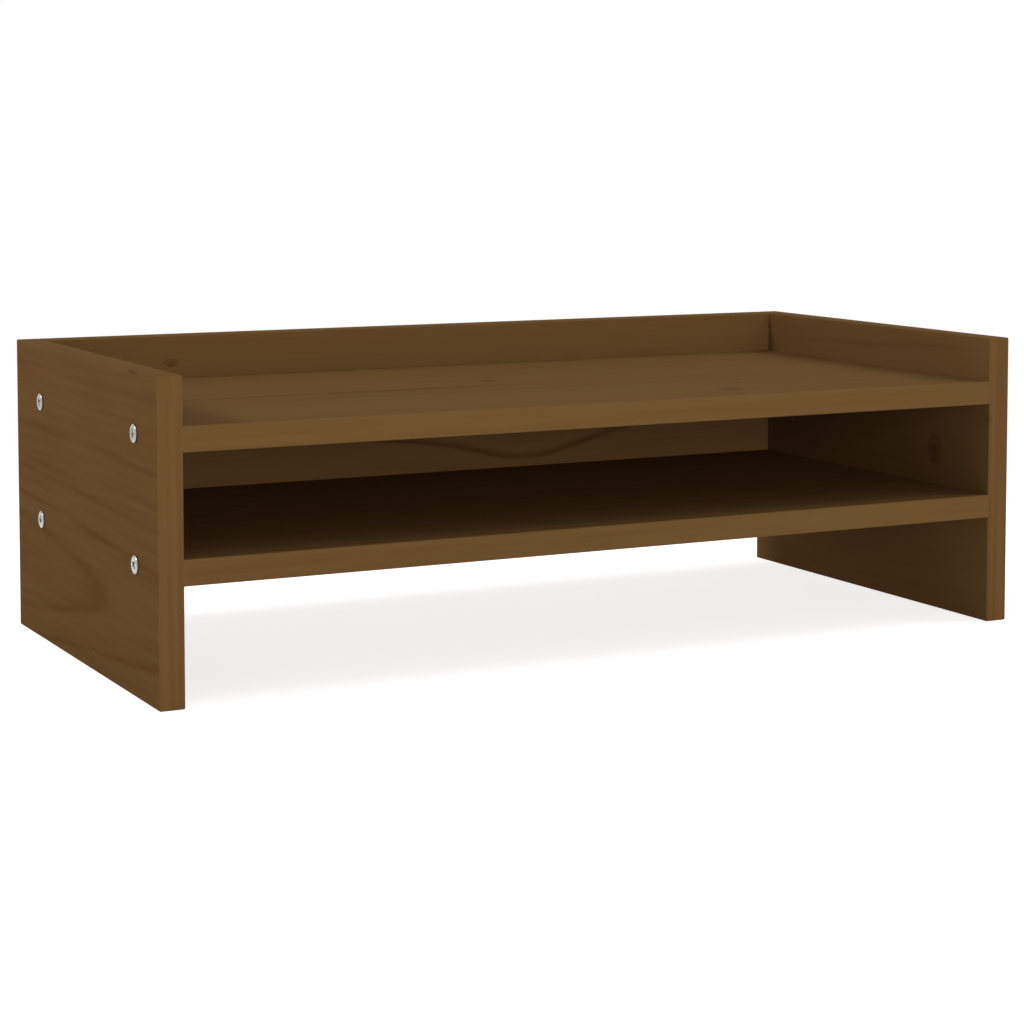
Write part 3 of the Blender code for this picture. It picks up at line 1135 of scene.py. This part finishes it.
def screw_tree():
    tree = bpy.data.node_groups.new("screws_in_rows", "GeometryNodeTree")
    size = screw_inputs(tree)
    start = Wire(tree)
    count = start.node("GeometryNodeInputIndex")
    side = (count / SCREWS_PER_SIDE).floor()
    shelf = (count / SCREWS_PER_SHELF).floor() % 2
    row = count % SCREWS_PER_SHELF
    x = between(size["Left Seat"], size["Right Seat"], side)
    y = between(size["Front Row"], size["Rear Row"], row)
    z = between(size["Upper Shelf"], size["Lower Shelf"], shelf)
    place = start.node("ShaderNodeCombineXYZ", None, {0: x, 1: y, 2: z})
    sockets = {"Count": 2 * SCREWS_PER_SIDE, "Position": place}
    points = start.node("GeometryNodePoints", None, sockets)

    sockets = {0: count * size["Turn Step"], 2: (1 - side) * math.pi}
    turn = start.node("ShaderNodeCombineXYZ", None, sockets)
    angle = start.node("FunctionNodeEulerToRotation", None, {0: turn})
    settings = {"transform_space": "ORIGINAL"}
    sockets = {"Object": size["Screw"]}
    shape = start.node("GeometryNodeObjectInfo", settings, sockets, out="Geometry")
    sockets = {"Points": points, "Instance": shape, "Rotation": angle}
    copies = start.node("GeometryNodeInstanceOnPoints", None, sockets)
    real = start.node("GeometryNodeRealizeInstances", None, {0: copies})
    sockets = {"Geometry": real, "Material": size["Finish"]}
    dressed = start.node("GeometryNodeSetMaterial", None, sockets)
    dressed.into(tree.nodes.new("NodeGroupOutput").inputs[0])
    return tree


tree = screw_tree()
print("screw tree:", len(tree.nodes), "nodes")

# %% [markdown]
# ## Set the screws
# The frame gives the seats, shelves and rows, so the screws sit where the CAD screws do. A
# modifier takes each size by the identifier of its socket, and its result becomes one plain mesh
# that stands for all eight.

# %% Set the screws
TURN_STEP = math.radians(23)
SCREW_NODES = sorted(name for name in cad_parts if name.startswith("screw_"))

sizes = {
    "Screw": screw,
    "Finish": zinc,
    "Left Seat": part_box("left_side_panel")[0].x,
    "Right Seat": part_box("right_side_panel")[1].x,
    "Upper Shelf": centre("screw_left_upper_front").z,
    "Lower Shelf": centre("screw_left_lower_front").z,
    "Front Row": centre("screw_left_upper_front").y,
    "Rear Row": centre("screw_left_upper_rear").y,
    "Turn Step": TURN_STEP,
}
screws = placed("zinc_screws", bpy.data.meshes.new("zinc_screws"))
rows = screws.modifiers.new("rows", "NODES")
rows.node_group = tree
for socket in tree.interface.items_tree:
    if socket.in_out == "INPUT":
        rows[socket.identifier] = sizes[socket.name]
settle(screws)
bpy.data.objects.remove(screw)
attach(screws, "root")
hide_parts(*SCREW_NODES)
print("screws:", len(screws.data.polygons), "faces")

# %% [markdown]
# ## Beech dowels
# Twelve fluted dowels hide in the joints. Their CAD shape is right, so they stay as they are and
# only get a wood finish: plain beech, pale, with the short dark flecks that tell it from pine.

# %% Beech dowels
BEECH_LIGHT = (0.58, 0.40, 0.235, 1)
BEECH_DARK = (0.44, 0.27, 0.145, 1)
BEECH_GRAIN = Noise(5, (0.05, 0.8, 0.8), detail=3)
BEECH_FLECK = Noise(6, (0.5, 3.2, 3.2), detail=1)
FLECK_SHOWS = (0.62, 0.7)
GRAIN_DARK = 0.5
FLECK_DARK = 0.5
BEECH_ROUGH = 0.62
GRAIN_ROUGH = 0.16
BEECH_BUMP = {"Strength": 0.3, "Distance": 0.0001}


def plain_beech():
    material, start, shader = blank_finish("plain_beech")
    place = in_mm(start)
    grain = place.noise(BEECH_GRAIN)
    fleck = place.noise(BEECH_FLECK).step(*FLECK_SHOWS)
    colour = (grain * GRAIN_DARK + fleck * FLECK_DARK).blend(BEECH_LIGHT, BEECH_DARK)
    coat(shader, colour, BEECH_ROUGH + grain * GRAIN_ROUGH, grain, BEECH_BUMP)
    return material


beech = plain_beech()
dowels = [node for name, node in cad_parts.items() if name.startswith("dowel_")]
for dowel in dowels:
    give(dowel, beech)
print("dowels:", len(dowels))
